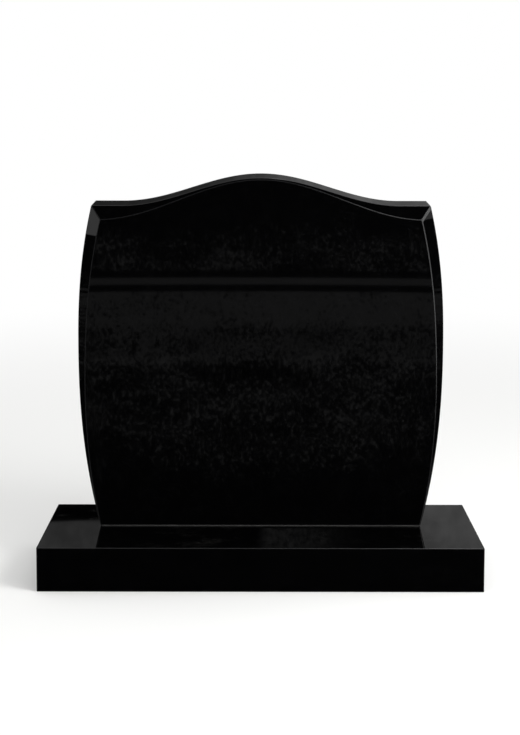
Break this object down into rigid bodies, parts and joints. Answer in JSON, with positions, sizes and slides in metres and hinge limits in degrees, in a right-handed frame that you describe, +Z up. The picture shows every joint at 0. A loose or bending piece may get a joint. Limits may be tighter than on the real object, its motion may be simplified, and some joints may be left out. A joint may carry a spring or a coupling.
{
  "type": "headstone",
  "caption": "Upright polished black granite headstone with an ogee top, bowed sides and a mitred bevel round a bare face, bedded on a plain rectangular base.",
  "frame": {"origin": "middle of the underside of the base slab", "axes": "+Z up; +X along the base's long side, to the right as the face is read; the bevelled face looks along -Y and +Y runs through the stone to its back"},
  "size_m": [0.762, 0.305, 0.703],
  "materials": {
    "polished_granite": "mirror polished, near black",
    "setting_mortar": "matt, dark grey"
  },
  "bodies": {
    "root": {"headstone_tablet": "polished_granite", "base_slab": "polished_granite", "jointing_bed": "setting_mortar"}
  },
  "joints": []
}
